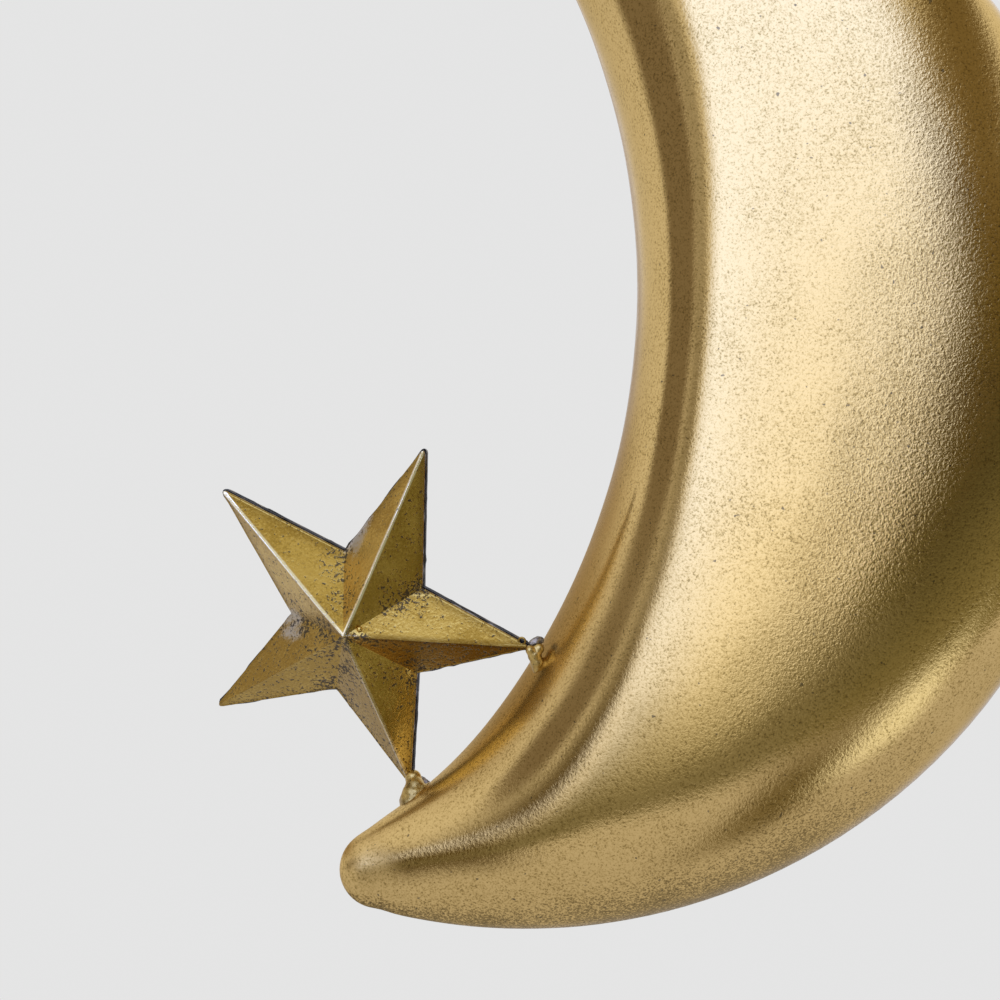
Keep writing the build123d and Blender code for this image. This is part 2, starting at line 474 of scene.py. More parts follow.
@dataclass(frozen=True)
class BlackSeam:
    """Blackened, uneven seam of the star."""

    soot: Colour = (0.018, 0.016, 0.014)
    brown: Colour = (0.12, 0.085, 0.045)
    lump_size: float = 1.5 * MM
    lump_depth: float = 0.2 * MM

    def material(self) -> bpy.types.Material:
        """Build the material.

        Returns:
            The material, which reads Object coordinates alone.
        """
        bench = NodeBench.for_material("black_seam")
        cloud = bench.noise(self.lump_size, 3.0, 0.6)
        colour = bench.blend(cloud.ramp(0.55, 0.75), self.soot, self.brown)
        rough = 0.45 + 0.2 * cloud
        normal = bench.bump(cloud, self.lump_depth)
        return bench.surface(Base_Color=colour, Metallic=0.6, Roughness=rough, Normal=normal)


# Modelling helpers


def clear_selection() -> None:
    """Leave edit mode and deselect every object."""
    if bpy.context.object is not None and bpy.context.object.mode != "OBJECT":
        bpy.ops.object.mode_set(mode="OBJECT")
    bpy.ops.object.select_all(action="DESELECT")


def take(piece: bpy.types.Object) -> None:
    """Make one object the only selected and active one.

    Args:
        piece: Object that is taken in hand.
    """
    clear_selection()
    piece.select_set(True)
    bpy.context.view_layer.objects.active = piece


def pick(piece: bpy.types.Object, kind: str, test: Callable[[Any], bool]) -> int:
    """Select the parts of a mesh that pass a test and go back to edit mode.

    Args:
        piece: Object in edit mode.
        kind: VERT, EDGE or FACE.
        test: Says of a vertex, edge or polygon whether it is wanted.

    Returns:
        The number of parts selected.
    """
    bpy.ops.mesh.select_mode(type=kind)
    bpy.ops.mesh.select_all(action="DESELECT")
    bpy.ops.object.mode_set(mode="OBJECT")
    mesh = piece.data
    parts = {"VERT": mesh.vertices, "EDGE": mesh.edges, "FACE": mesh.polygons}[kind]
    count = 0
    for part in parts:
        part.select = bool(test(part))
        count += part.select
    bpy.ops.object.mode_set(mode="EDIT")
    return count


def edit_all() -> None:
    """Enter edit mode with everything selected."""
    bpy.ops.object.mode_set(mode="EDIT")
    bpy.ops.mesh.select_all(action="SELECT")


def face_outwards() -> None:
    """Turn all faces outwards and leave edit mode."""
    bpy.ops.mesh.select_all(action="SELECT")
    bpy.ops.mesh.normals_make_consistent(inside=False)
    bpy.ops.object.mode_set(mode="OBJECT")


def settle(piece: bpy.types.Object) -> None:
    """Put an object's place into its mesh, so that it sits at the origin."""
    take(piece)
    bpy.ops.object.transform_apply(location=True, rotation=True, scale=True)


def settle_new(name: str) -> bpy.types.Object:
    """Name the object that was just made and put its place into its mesh.

    Args:
        name: Its name.

    Returns:
        The object.
    """
    piece = bpy.context.object
    piece.name = name
    settle(piece)
    return piece


def join(first: bpy.types.Object, *others: bpy.types.Object) -> None:
    """Join objects into the first of them.

    Args:
        first: Object that takes up the rest.
        others: Objects that go into it.
    """
    take(first)
    for part in others:
        part.select_set(True)
    bpy.ops.object.join()


def modify(piece: bpy.types.Object, kind: str, **settings: Any) -> None:
    """Add a modifier and apply it.

    Args:
        piece: Object that is changed.
        kind: Type name of the modifier.
        settings: Properties of the modifier.
    """
    take(piece)
    bpy.ops.object.modifier_add(type=kind)
    added = piece.modifiers[-1]
    for key, value in settings.items():
        setattr(added, key, value)
    bpy.ops.object.modifier_apply(modifier=added.name)


def roughen(piece: bpy.types.Object, size: float, depth: float, level: float) -> None:
    """Make a surface uneven, as by hand work.

    Args:
        piece: Object that is changed.
        size: Width of one swell, in metres.
        depth: Height of the swells, in metres.
        level: Share of the height that points inwards.
    """
    clouds = bpy.data.textures.new(f"{piece.name}_swell", "CLOUDS")
    clouds.noise_scale = size
    modify(piece, "DISPLACE", texture=clouds, strength=depth, mid_level=level, texture_coords="LOCAL")


def smooth(piece: bpy.types.Object, angle: float = 40.0) -> None:
    """Shade a piece smoothly, apart from edges sharper than an angle in degrees."""
    take(piece)
    bpy.ops.object.shade_smooth_by_angle(angle=math.radians(angle))


def copy_of(piece: bpy.types.Object, name: str) -> bpy.types.Object:
    """Copy an object with its own mesh.

    Args:
        piece: Object that is copied.
        name: Name of the copy.

    Returns:
        The copy.
    """
    twin = piece.copy()
    twin.data = piece.data.copy()
    twin.name = name
    bpy.context.scene.collection.objects.link(twin)
    return twin


def points_of(piece: bpy.types.Object) -> np.ndarray:
    """Read the places of all vertices.

    Args:
        piece: Object whose mesh is read.

    Returns:
        The places, one row each.
    """
    flat = np.zeros(len(piece.data.vertices) * 3)
    piece.data.vertices.foreach_get("co", flat)
    return flat.reshape(-1, 3)


def put_points(piece: bpy.types.Object, places: np.ndarray) -> None:
    """Move all vertices to new places, one row each."""
    piece.data.vertices.foreach_set("co", places.ravel())
    piece.data.update()


def keep_inside(piece: bpy.types.Object, margin: float = 0.03 * MM) -> None:
    """Press back the few points of a piece that reach past the box of the CAD model.

    Args:
        piece: Object that is changed.
        margin: Distance that is kept from the box.
    """
    low, high = (np.array(corner) for corner in CAD_BOX)
    put_points(piece, np.clip(points_of(piece), low + margin, high - margin))


def mark(piece: bpy.types.Object, name: str, values: np.ndarray) -> None:
    """Store one value for each vertex under a name that materials can read."""
    layer = piece.data.attributes.new(name, "FLOAT", "POINT")
    layer.data.foreach_set("value", values.astype(np.float32))


def step_up(values: np.ndarray, low: float, high: float) -> np.ndarray:
    """Smooth step from 0 at low to 1 at high."""
    share = np.clip((values - low) / (high - low), 0, 1)
    return share * share * (3 - 2 * share)


def dress(piece: bpy.types.Object, finish: bpy.types.Material, slot: Slot, body: Body, *nodes: str) -> None:
    """Give a piece its finish, its body and the CAD nodes that it stands for.

    Args:
        piece: Finished object.
        finish: Its material.
        slot: Material slot of the record; not used.
        body: Body that it moves with.
        nodes: CAD nodes that it replaces.
    """
    keep_inside(piece)
    piece.data.materials.clear()
    piece.data.materials.append(finish)
    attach(piece, body.value)
    if nodes:
        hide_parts(*nodes)
    LOG.info("%s: %d faces, for %s", piece.name, len(piece.data.polygons), ", ".join(nodes))


# The moon


@dataclass
class Moon:
    """Hollow crescent of two pressed halves and the seam between them."""

    # Outline in the plane of the seam; bearings and dip in degrees, the blend in radians
    outer_radius: float = 100.0 * MM
    inner_radius: float = 121.5 * MM
    belly_width: float = 81.4 * MM
    nose_radius: float = 6.9 * MM
    nose_bearing: float = 99.9
    nose_blend: float = 0.035
    swell: float = 7.3e-6
    swell_start: float = 51.0
    dip: float = 5.9
    # Sections: depth as a share of width, squareness, and lean towards the inner edge at the horns
    belly_ratio: float = 0.71
    horn_plump: float = 0.12
    belly_square: float = 3.5
    horn_square: float = 1.8
    square_zone: tuple[float, float] = (0.0, 0.9)
    horn_skew: float = -0.17
    skew_zone: tuple[float, float] = (0.78, 0.98)
    # Sheet, seam and dents
    sheet: float = 0.8 * MM
    seam: float = 1.2 * MM
    dent_size: float = 26 * MM
    dent_depth: float = 0.22 * MM
    # Wear: roughness added at the noses and beside the star, and where it and the darker specks low on the
    # outer edge set in
    nose_soft: float = 0.26
    nose_zone: tuple[float, float] = (0.95, 1.0)
    rim_soft: float = 0.17
    star_edge: tuple[float, float] = (0.5, 0.85)
    star_drop: tuple[float, float] = (12 * MM, 45 * MM)
    low_edge: tuple[float, float] = (0.45, 0.97)
    low_drop: tuple[float, float] = (55 * MM, 95 * MM)
    # Points round a section, and steps along the moon
    around: int = 72
    along: int = 64
    # Worked out from the sizes above
    centre: Vector = field(init=False)
    spacing: float = field(init=False)
    pivot: float = field(init=False)
    nose_run: float = field(init=False)
    nose_angle: float = field(init=False)
    end_angle: float = field(init=False)
    pieces: list[bpy.types.Object] = field(default_factory=list)

    def __post_init__(self) -> None:
        """Find the moon's centre from the CAD seam, and the places of its noses."""
        low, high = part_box("crescent_seam_bead")
        self.centre = Vector((high.x - self.outer_radius, 0, low.z + self.outer_radius))
        self.spacing = self.inner_radius - self.outer_radius + self.belly_width
        self.pivot = -self.spacing / 2
        reach = self.outer_radius - self.nose_radius
        bearing = math.radians(self.nose_bearing)
        along, across = reach * math.cos(bearing) - self.pivot, reach * math.sin(bearing)
        self.nose_run = math.hypot(along, across)
        self.nose_angle = math.atan2(across, along)
        self.end_angle = self.nose_angle + math.asin(self.nose_radius / self.nose_run)

    def to_frame(self) -> Matrix:
        """Transform from the moon's own level axis to the frame."""
        return Matrix.Translation(self.centre) @ Matrix.Rotation(math.radians(self.dip), 4, "Y")

    def circle_cut(self, angle: float, centre: float, radius: float) -> float:
        """Find where a ray from the pivot leaves a circle on the axis.

        Args:
            angle: Angle of the ray from the axis, in radians.
            centre: Place of the circle's centre on the axis.
            radius: Radius of the circle.

        Returns:
            Distance from the pivot.
        """
        shift = self.pivot - centre
        half = shift * math.cos(angle)
        return -half + math.sqrt(half * half - shift * shift + radius * radius)

    def chord(self, angle: float) -> tuple[float, float]:
        """Inner and outer end of the cross-section on one ray from the pivot.

        Args:
            angle: Angle of the ray from the axis, in radians.

        Returns:
            Distances of the two ends from the pivot.
        """
        size = abs(angle)
        outer = self.circle_cut(size, 0, self.outer_radius)
        inner = self.circle_cut(size, -self.spacing, self.inner_radius)
        inner -= self.swell * max(0.0, math.degrees(size) - self.swell_start) ** 2
        off = self.nose_run * math.sin(size - self.nose_angle)
        half = math.sqrt(max(self.nose_radius**2 - off * off, 0.0))
        if half == 0.0 and size < self.nose_angle:
            return inner, outer
        middle = self.nose_run * math.cos(size - self.nose_angle)
        share = float(step_up(np.array(size - self.nose_angle), -self.nose_blend, self.nose_blend))
        inner = (1 - share) * min(inner, middle - half) + share * (middle - half)
        return inner, outer if size < self.nose_angle else min(outer, middle + half)

    def stations(self) -> list[float]:
        """Angles of the cross-sections, closer together towards the horns."""
        steps = [2 * k / self.along - 1 for k in range(1, self.along)]
        return [self.end_angle * math.sin(math.pi / 2 * step) for step in steps]

    def section(self, angle: float) -> tuple[Vector, float]:
        """Lay out one cross-section.

        Args:
            angle: Angle of its ray from the axis, in radians.

        Returns:
            Its middle and its width.
        """
        inner, outer = self.chord(angle)
        return self.on_ray(angle, (inner + outer) / 2), outer - inner

    def on_ray(self, angle: float, reach: float) -> Vector:
        """Place on a ray from the pivot, at a distance from it."""
        return Vector((self.pivot + reach * math.cos(angle), 0, reach * math.sin(angle)))

    def sweep(self) -> bpy.types.Object:
        """Draw the filled body, cross-section by cross-section from the lower to the upper horn.

        Returns:
            The closed body, in the frame.
        """
        angles = self.stations()
        middle, width = self.section(angles[0])
        clear_selection()
        bpy.ops.mesh.primitive_circle_add(
            vertices=self.around, radius=1.0, location=middle, rotation=(0, -angles[0], 0)
        )
        body = bpy.context.object
        body.name = "moon_body"
        body.scale = (width / 2, width * self.belly_ratio / 2, 1)
        settle(body)
        bpy.ops.object.mode_set(mode="EDIT")
        bpy.ops.mesh.select_mode(type="VERT")
        bpy.ops.mesh.select_all(action="SELECT")
        for last, angle in zip(angles, angles[1:]):
            here, wide = self.section(angle)
            bpy.ops.mesh.extrude_region_move()
            bpy.ops.transform.resize(value=(wide / width,) * 3, center_override=middle)
            bpy.ops.transform.rotate(
                value=angle - last, orient_axis="Y", orient_type="GLOBAL", center_override=middle
            )
            bpy.ops.transform.translate(value=here - middle)
            middle, width = here, wide
        self.close_horn(self.end_angle)
        pick(body, "VERT", lambda v: v.index < self.around)
        self.close_horn(-self.end_angle)
        face_outwards()
        self.press(body)
        body.matrix_world = self.to_frame()
        settle(body)
        return body

    def press(self, body: bpy.types.Object) -> None:
        """Press the cross-sections from plain ovals to the moon's fuller belly and rounder horns.

        Args:
            body: Filled body, on the moon's own level axis.
        """
        places = points_of(body)
        angle, across, width = self.lie(places)
        part = np.minimum(np.abs(angle) / self.nose_angle, 1.0)
        across = across - self.horn_skew * step_up(part, *self.skew_zone) * (1 - across**2)
        ratio = self.belly_ratio + self.horn_plump * np.sin(np.pi * part**2)
        rounder = (self.horn_square - self.belly_square) * step_up(part, *self.square_zone)
        square = self.belly_square + rounder
        depth = width / 2 * ratio * (1 - np.abs(across) ** square) ** (1 / square)
        places[:, 1] = np.sign(places[:, 1]) * depth
        put_points(body, places)

    def lie(self, local: np.ndarray) -> tuple[np.ndarray, np.ndarray, np.ndarray]:
        """Say where points lie in their cross-sections.

        Args:
            local: Points on the moon's own level axis.

        Returns:
            Angle at the pivot, place across the section from -1 to 1, and width of the section.
        """
        x, z = local[:, 0] - self.pivot, local[:, 2]
        angle, run = np.arctan2(z, x), np.hypot(x, z)
        # Just short of the ends of the horns, where sections shrink to nothing
        last = self.end_angle * 0.9999
        ends = np.array([self.chord(min(a, last)) for a in np.abs(angle)])
        width = np.maximum(ends[:, 1] - ends[:, 0], MERGED)
        return angle, np.clip(2 * (run - ends[:, 0]) / width - 1, -1, 1), width

    def close_horn(self, angle: float) -> None:
        """Draw the selected cross-section together in the end of a horn.

        Args:
            angle: Angle of the horn's end from the axis, in radians.
        """
        tip = self.on_ray(angle, math.sqrt(self.nose_run**2 - self.nose_radius**2))
        bpy.ops.mesh.extrude_region_move()
        bpy.ops.transform.resize(value=(0, 0, 0), center_override=tip)
        bpy.ops.mesh.merge(type="CENTER")

    def shell(self, body: bpy.types.Object, half: Half, name: str) -> bpy.types.Object:
        """Cut one half off the body and give it the thickness of the sheet.

        Args:
            body: Filled body.
            half: Side that is kept.
            name: Name of the new piece.

        Returns:
            The shell.
        """
        piece = copy_of(body, name)
        self.cut(piece, half.value * self.seam / 2, -half.value)
        modify(piece, "SOLIDIFY", thickness=self.sheet, offset=-1.0, use_even_offset=True)
        return piece

    def cut(self, piece: bpy.types.Object, height: float, side: int) -> None:
        """Cut a piece across Y and drop one side of it.

        Args:
            piece: Object that is cut.
            height: Place of the cut along Y.
            side: 1 to drop what lies beyond the cut, and -1 to drop what lies before it.
        """
        take(piece)
        edit_all()
        bpy.ops.mesh.bisect(plane_co=(0, height, 0), plane_no=(0, side, 0), clear_outer=True)
        bpy.ops.object.mode_set(mode="OBJECT")

    def bead(self, body: bpy.types.Object) -> bpy.types.Object:
        """Cut the seam out of the middle of the body.

        Args:
            body: Filled body.

        Returns:
            The seam.
        """
        piece = copy_of(body, "moon_seam")
        self.cut(piece, -self.seam / 2, -1)
        self.cut(piece, self.seam / 2, 1)
        modify(piece, "SOLIDIFY", thickness=self.sheet, offset=-1.0)
        return piece

    def mark_zones(self, piece: bpy.types.Object) -> None:
        """Mark where each point lies across its section, near the rim and low edge, and where it is dull.

        Args:
            piece: Finished object, in the frame.
        """
        back = self.to_frame().inverted()
        places = points_of(piece)
        angle, across, _ = self.lie(places @ np.array(back.to_3x3()).T + np.array(back.translation))
        drop = self.centre.z - places[:, 2]
        mark(piece, "side", across)
        mark(piece, "rim", np.abs(across))
        mark(piece, "low", step_up(across, *self.low_edge) * step_up(drop, *self.low_drop))
        nose = step_up(np.abs(angle) / self.nose_angle, *self.nose_zone)
        beside = step_up(-across, *self.star_edge) * step_up(drop, *self.star_drop)
        mark(piece, "soft", np.maximum(self.nose_soft * nose, self.rim_soft * beside))

    def build(self) -> "Moon":
        """Model the two shells and the seam.

        Returns:
            The moon itself.
        """
        body = self.sweep()
        modify(body, "SUBSURF", levels=1, render_levels=1)
        roughen(body, self.dent_size, self.dent_depth, 1.0)
        self.pieces = [
            self.shell(body, Half.FRONT, "moon_front"),
            self.shell(body, Half.BACK, "moon_back"),
            self.bead(body),
        ]
        bpy.data.objects.remove(body)
        return self

    def dress(self, brass: bpy.types.Material) -> None:
        """Finish the moon's pieces.

        Args:
            brass: Finish of all three.
        """
        nodes = ("crescent_front_shell", "crescent_back_shell", "crescent_seam_bead")
        for piece, node in zip(self.pieces, nodes):
            self.mark_zones(piece)
            smooth(piece)
            dress(piece, brass, Slot.ANTIQUE_BRASS, Body.ORNAMENT, node)


# The star

# Degrees from a tip to the next notch, and corners in a whole turn
HALF_STEP = 36
CORNERS = 10


@dataclass
class Star:
    """Hollow star of two pressed halves with ten facets each, leaning on the moon's inner edge."""

    # Pressed halves and the band between them
    radius: float = 32.1 * MM
    notch_ratio: float = 0.402
    height: float = 10.3 * MM
    rim: float = 0.9 * MM
    tip_round: float = 1.75 * MM
    edge_round: float = 0.3 * MM
    ridge_round: float = 0.18 * MM
    sharp_angle: float = 34.0
    seam: float = 0.6 * MM
    seam_share: float = 0.75
    seam_bulge: float = 0.1 * MM
    # Seat on the moon, in degrees
    seat_angle: float = -31.8
    twist: float = -3.8
    lean: float = 20.0
    lean_axis: float = -49.1
    # Bends of the five tips, in millimetres along and across the first arm
    tip_shifts: tuple[tuple[float, float], ...] = (
        (-1.31, -0.34),
        (-0.55, 1.95),
        (-1.20, 1.70),
        (0.00, 0.10),
        (0.60, 2.75),
    )
    # Vent near the first tip and bead by the apex, with their places in millimetres
    vent: tuple[float, float] = (28.7, 0.66)
    vent_radius: float = 0.40 * MM
    vent_depth: float = 3 * MM
    lip_ratio: float = 1.45
    bead: tuple[float, float] = (2.3, 1.2)
    bead_radius: float = 0.55 * MM
    # Unevenness of the sheet and of the band
    dent_size: float = 5 * MM
    dent_depth: float = 0.12 * MM
    lump_size: float = 1.7 * MM
    lump_depth: float = 0.7 * MM
    # Limits for finding a tip, the outer part of an arm, and a ridge by its bearing in radians
    near: float = 0.2 * MM
    outer_share: float = 0.7
    ridge_gap: float = 0.006
    # Painted light and wear: painted highlight (above 0) or painted shade (below 0) along each ridge,
    # painted shade on each facet, worn spots by bearing and reach in millimetres
    ridge_painted_light: tuple[float, ...] = (-1.0, 1.0, 1.0, 0.0, 0.25)
    facet_shade: tuple[float, ...] = (0.2, 0.6, 0.3, 0.15, 0.5, 0.75, 0.75, 0.95, 0.5, 1.0)
    worn_spots: tuple[tuple[float, float], ...] = ((100.0, 15.0), (187.0, 12.0), (96.0, 18.5))
    worn_width: float = 3.6
    pieces: list[bpy.types.Object] = field(default_factory=list)

    def place_on(self, moon: Moon) -> Matrix:
        """Transform from the star's own plane, facing +Z, to the frame.

        Args:
            moon: The moon that it stands on.

        Returns:
            The star's place.
        """
        half_step = math.radians(HALF_STEP)
        reach = math.sqrt(moon.inner_radius**2 - (self.radius * math.sin(half_step)) ** 2)
        reach -= self.radius * math.cos(half_step)
        seat, lean = math.radians(self.seat_angle), math.radians(self.lean_axis)
        spot = Vector((reach * math.cos(seat) - moon.spacing, 0, reach * math.sin(seat)))
        turn = math.radians(self.seat_angle + self.twist + HALF_STEP)
        upright = Matrix.Rotation(math.pi / 2, 4, "X") @ Matrix.Rotation(turn, 4, "Z")
        axis = Vector((math.cos(lean), 0, math.sin(lean)))
        tilt = Matrix.Rotation(math.radians(self.lean), 4, axis)
        return moon.to_frame() @ Matrix.Translation(spot) @ tilt @ upright

    def corners(self) -> np.ndarray:
        """Lay out the front's sharp outline.

        Returns:
            Tips and notches by turns, one row each.
        """
        rows = []
        for step in range(CORNERS):
            bearing = math.radians(HALF_STEP * step)
            is_tip = step % 2 == 0
            reach = self.radius if is_tip else self.radius * self.notch_ratio
            x, y = self.tip_shifts[step // 2] if is_tip else (0.0, 0.0)
            rows.append((reach * math.cos(bearing) + x * MM, reach * math.sin(bearing) + y * MM))
        return np.array(rows)

    def lie(self, x: np.ndarray, y: np.ndarray) -> tuple[np.ndarray, np.ndarray, np.ndarray]:
        """Say where points lie on the facets of the front.

        Args:
            x: Places along the first arm.
            y: Places across it.

        Returns:
            Number of the facet, distance from its outer edge and reach of that edge from the middle.
        """
        ends = self.corners()
        bearings = np.unwrap(np.arctan2(ends[:, 1], ends[:, 0]))
        turn = (np.arctan2(y, x) - bearings[0]) % (2 * np.pi) + bearings[0]
        facet = np.clip(np.searchsorted(bearings, turn, "right") - 1, 0, CORNERS - 1)
        run = np.roll(ends, -1, axis=0) - ends
        normal = np.column_stack([run[:, 1], -run[:, 0]]) / np.linalg.norm(run, axis=1)[:, None]
        reach = np.sum(normal * ends, axis=1)[facet]
        return facet, reach - (normal[facet, 0] * x + normal[facet, 1] * y), reach

    def outline(self, name: str, base: float, side: int) -> bpy.types.Object:
        """Flat ten-cornered outline with blunt tips, one of them along +X.

        Args:
            name: Name of the new object.
            base: Height at which it lies.
            side: 1 for the front and -1 for the back, which is drawn as seen from behind.

        Returns:
            The object, in edit mode.
        """
        clear_selection()
        bpy.ops.mesh.primitive_circle_add(
            vertices=CORNERS,
            radius=self.radius,
            fill_type="NGON",
            location=(0, 0, base),
            rotation=(0, 0, math.radians(HALF_STEP / 2)),
        )
        piece = settle_new(name)
        bpy.ops.object.mode_set(mode="EDIT")
        pick(piece, "VERT", lambda v: round(math.degrees(math.atan2(v.co.y, v.co.x)) / HALF_STEP) % 2 == 1)
        inwards = (self.notch_ratio, self.notch_ratio, 1)
        bpy.ops.transform.resize(value=inwards, center_override=(0, 0, base))
        for arm, shift in enumerate(self.tip_shifts):
            bearing = side * math.radians(2 * HALF_STEP * arm)
            tip = Vector((self.radius * math.cos(bearing), self.radius * math.sin(bearing), base))
            pick(piece, "VERT", lambda v: (v.co - tip).length < self.near)
            bpy.ops.transform.translate(value=(shift[0] * MM, side * shift[1] * MM, 0))
        pick(piece, "VERT", lambda v: v.co.xy.length > self.radius * self.outer_share)
        bpy.ops.mesh.bevel(offset=self.tip_round, affect="VERTICES", segments=4)
        return piece

    def shell(self, name: str, side: int) -> bpy.types.Object:
        """Half of the star, facing +Z: an upright rim, a rounded edge, ten facets and folded ridges.

        Args:
            name: Name of the new object.
            side: 1 for the front and -1 for the back.

        Returns:
            The half, in object mode.
        """
        base = self.seam / 2
        crest = base + self.rim
        piece = self.outline(name, base, side)
        bpy.ops.mesh.select_all(action="SELECT")
        bpy.ops.mesh.extrude_region_move(TRANSFORM_OT_translate={"value": (0, 0, self.rim)})
        points = piece.data.vertices
        pick(piece, "EDGE", lambda e: all(points[i].co.z > crest - self.near for i in e.vertices))
        bpy.ops.mesh.bevel(offset=self.edge_round, segments=3, affect="EDGES")
        pick(piece, "FACE", lambda f: f.center.z > crest - TINY and len(f.vertices) >= CORNERS)
        bpy.ops.mesh.poke()
        bpy.ops.object.mode_set(mode="OBJECT")
        self.raise_facets(piece, crest, side)
        bpy.ops.object.mode_set(mode="EDIT")
        self.fold_ridges(piece, side)
        bpy.ops.mesh.select_all(action="SELECT")
        bpy.ops.mesh.quads_convert_to_tris()
        bpy.ops.mesh.subdivide(number_cuts=5)
        face_outwards()
        return piece

    def raise_facets(self, piece: bpy.types.Object, crest: float, side: int) -> None:
        """Lift the middle to the apex and the blunt tips to the planes of their facets.

        Args:
            piece: Half of the star with a flat top.
            crest: Height of the flat top.
            side: 1 for the front and -1 for the back.
        """
        places = points_of(piece)
        top = places[:, 2] > crest - TINY
        middle = top & (np.hypot(places[:, 0], places[:, 1]) < self.radius * self.notch_ratio / 2)
        places[middle, :2] = 0.0
        _, inside, reach = self.lie(places[:, 0], side * places[:, 1])
        lift = self.height * np.clip((inside - self.edge_round) / (reach - self.edge_round), 0, 1)
        places[:, 2] += np.where(top, lift, 0.0)
        put_points(piece, places)

    def fold_ridges(self, piece: bpy.types.Object, side: int) -> None:
        """Round the five ridges a little, as folded sheet has them.

        Args:
            piece: Half of the star, in edit mode.
            side: 1 for the front and -1 for the back.
        """
        bearings = [math.atan2(side * row[1], row[0]) for row in self.corners()[::2]]

        def on_ridge(edge: bpy.types.MeshEdge) -> bool:
            """Say whether an edge runs from the apex along a ridge.

            Args:
                edge: Edge of the half.

            Returns:
                True for an edge along one of the five ridges.
            """
            places = (piece.data.vertices[i].co for i in edge.vertices)
            near, far = sorted(places, key=lambda place: place.xy.length)
            from_apex = near.xy.length < self.near and near.z >= self.height
            if not from_apex or far.xy.length < self.radius * self.outer_share:
                return False
            bearing = math.atan2(far.y, far.x)
            gaps = (abs(math.remainder(bearing - ridge, 2 * math.pi)) for ridge in bearings)
            return min(gaps) < self.ridge_gap

        LOG.debug("%d ridges folded", pick(piece, "EDGE", on_ridge))
        bpy.ops.mesh.bevel(offset=self.ridge_round, segments=3, affect="EDGES")

    def on_facet(self, spot: tuple[float, float]) -> Vector:
        """Find a place on the front's facets.

        Args:
            spot: Place in the star's plane, in millimetres.

        Returns:
            The place above it, in metres.
        """
        x, y = spot[0] * MM, spot[1] * MM
        _, inside, reach = self.lie(np.array([x]), np.array([y]))
        return Vector((x, y, self.seam / 2 + self.rim + self.height * float(inside[0] / reach[0])))

    def bore_vent(self, piece: bpy.types.Object) -> None:
        """Bore the small vent near the tip along +X, with a raised lip, and set a tiny bead by the apex.

        Args:
            piece: Front half of the star, facing +Z.
        """
        spot = self.on_facet(self.vent)
        clear_selection()
        bpy.ops.mesh.primitive_cylinder_add(
            vertices=24, radius=self.vent_radius, depth=self.vent_depth, location=spot
        )
        drill = settle_new("vent_drill")
        before = len(piece.data.vertices)
        modify(piece, "BOOLEAN", operation="DIFFERENCE", object=drill, solver="EXACT")
        if len(piece.data.vertices) < before:
            LOG.warning("the vent took too much of the star away")
        bpy.data.objects.remove(drill)
        clear_selection()
        bpy.ops.mesh.primitive_torus_add(
            major_radius=self.vent_radius * self.lip_ratio, minor_radius=self.vent_radius / 2, location=spot
        )
        lip = bpy.context.object
        bpy.ops.mesh.primitive_ico_sphere_add(
            subdivisions=3, radius=self.bead_radius, location=self.on_facet(self.bead)
        )
        join(piece, lip, bpy.context.object)

    def seam_band(self) -> bpy.types.Object:
        """Draw the band of filler between the two halves.

        Returns:
            The band, in the star's own plane.
        """
        base = -self.seam * self.seam_share
        piece = self.outline("star_seam", base, 1)
        bpy.ops.mesh.select_all(action="SELECT")
        bpy.ops.mesh.extrude_region_move(TRANSFORM_OT_translate={"value": (0, 0, -2 * base)})
        bpy.ops.mesh.select_all(action="SELECT")
        bpy.ops.mesh.normals_make_consistent(inside=False)
        bpy.ops.mesh.subdivide(number_cuts=14)
        bpy.ops.mesh.select_all(action="SELECT")
        bpy.ops.transform.shrink_fatten(value=self.seam_bulge)
        bpy.ops.object.mode_set(mode="OBJECT")
        return piece

    def mark_zones(self, piece: bpy.types.Object, side: int) -> None:
        """Mark how far each point is from ridges, valleys and edges, where it gets a painted highlight or
        painted shade, and where it is worn.

        Args:
            piece: Half of the star, facing +Z.
            side: 1 for the front and -1 for the back.
        """
        x, y, z = points_of(piece).T
        y = side * y
        ends = self.corners()
        facet, inside, _ = self.lie(x, y)
        unit = ends / np.linalg.norm(ends, axis=1)[:, None]
        tip, notch = (facet + 1) // 2 * 2 % CORNERS, facet // 2 * 2 + 1
        mark(piece, "ridge", np.abs(unit[tip, 0] * y - unit[tip, 1] * x) / MM)
        mark(piece, "valley", np.abs(unit[notch, 0] * y - unit[notch, 1] * x) / MM)
        mark(piece, "edge", inside / MM)
        mark(piece, "skirt", (self.seam / 2 + self.rim - np.abs(z)) / MM)
        # Painted highlight or painted shade along each ridge, and painted shade on each facet
        mark(piece, "painted_light", np.array(self.ridge_painted_light)[tip // 2])
        mark(piece, "darkening", np.array(self.facet_shade)[facet])
        worn = np.zeros(len(x))
        for bearing, run in self.worn_spots:
            turn = math.radians(bearing)
            gap = np.hypot(x / MM - run * math.cos(turn), y / MM - run * math.sin(turn))
            worn = np.maximum(worn, np.exp(-((gap / self.worn_width) ** 2)))
        mark(piece, "worn", worn)

    def build(self, moon: Moon) -> "Star":
        """Model the two shells and the seam.

        Args:
            moon: The moon that the star stands on.

        Returns:
            The star itself.
        """
        front, back, band = self.shell("star_front", 1), self.shell("star_back", -1), self.seam_band()
        self.bore_vent(front)
        for piece, side in ((front, 1), (back, -1)):
            self.mark_zones(piece, side)
            roughen(piece, self.dent_size, self.dent_depth, 0.6)
        roughen(band, self.lump_size, self.lump_depth, 0.5)
        back.matrix_world = Matrix.Rotation(math.pi, 4, "X")
        settle(back)
        for piece in (front, back, band):
            piece.matrix_world = self.place_on(moon)
            settle(piece)
        self.pieces = [front, back, band]
        return self

